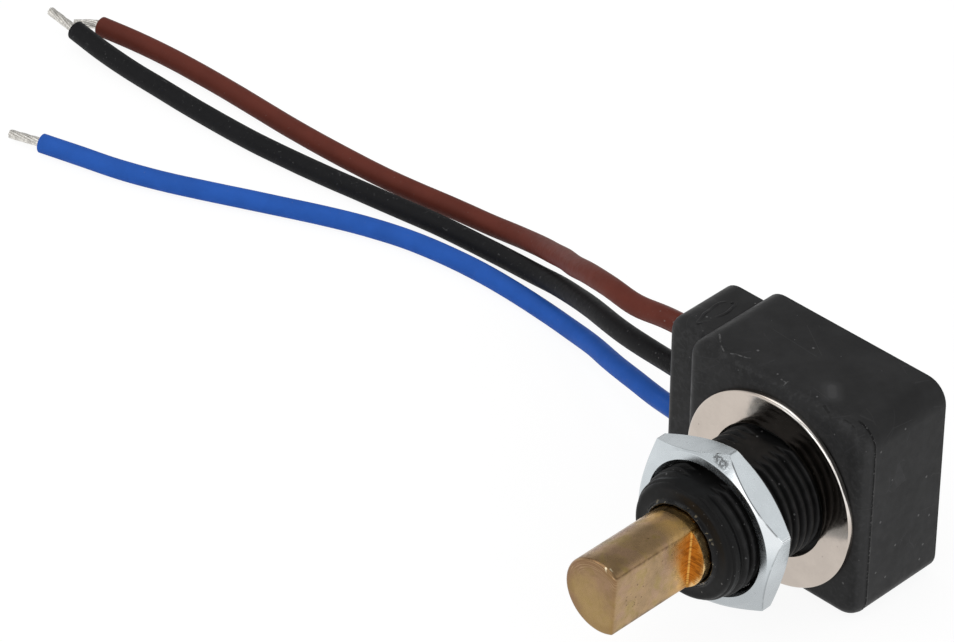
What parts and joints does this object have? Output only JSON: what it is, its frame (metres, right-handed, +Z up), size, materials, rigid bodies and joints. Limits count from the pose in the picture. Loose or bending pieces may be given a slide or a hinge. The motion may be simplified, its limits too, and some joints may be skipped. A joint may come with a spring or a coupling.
{
  "type": "rotary potentiometer",
  "caption": "Panel-mounted rotary potentiometer with a square housing, a threaded bushing, a D-shaft, a hex nut, a flat washer and stripped leads.",
  "frame": {"origin": "the shaft's axis at the housing's front face, where the washer and the panel seat", "axes": "+Y back into the housing, the shaft points along -Y; +Z up, the leads leave along -X"},
  "size_m": [0.0985, 0.035, 0.0168],
  "materials": {
    "black_plastic": "satin, finely moulded",
    "resin": "cast, glossy",
    "brass": "aged, turned",
    "spring_steel": "stamped",
    "natural_plastic": "moulded",
    "bronze": "spring sheet",
    "board": "pressed laminate",
    "carbon": "printed",
    "silver_print": "printed",
    "tinned": "tinned",
    "brown_insulation": "extruded, satin",
    "black_insulation": "extruded, satin",
    "blue_insulation": "extruded, satin",
    "nickel": "bright nickel plate",
    "zinc": "bright zinc plate"
  },
  "bodies": {
    "case": {"housing": "black_plastic", "rear_cover": "black_plastic", "potting": "resin", "thrust_washer": "natural_plastic", "track_board": "board", "resistive_track": "carbon", "collector_ring": "silver_print", "terminal_brown": "tinned", "terminal_black": "tinned", "terminal_blue": "tinned", "rivet_brown": "brass", "rivet_black": "brass", "rivet_blue": "brass", "solder_brown": "tinned", "solder_black": "tinned", "solder_blue": "tinned", "lead_brown": "brown_insulation", "lead_black": "black_insulation", "lead_blue": "blue_insulation", "strand_brown": "tinned", "strand_black": "tinned", "strand_blue": "tinned", "washer": "nickel"},
    "turning_shaft": {"shaft": "brass", "retaining_ring": "spring_steel", "rotor": "natural_plastic", "wiper": "bronze"},
    "panel_nut": {"nut": "zinc"}
  },
  "joints": [
    {"name": "shaft_turn", "type": "hinge", "parent": "case", "child": "turning_shaft", "pos_m": [0, 0, 0], "axis": [0, 1, 0], "range_deg": [-150, 150]},
    {"name": "nut_travel", "type": "slide", "parent": "case", "child": "panel_nut", "axis": [0, 1, 0], "range_m": [-0.0023, 0.0044]}
  ]
}
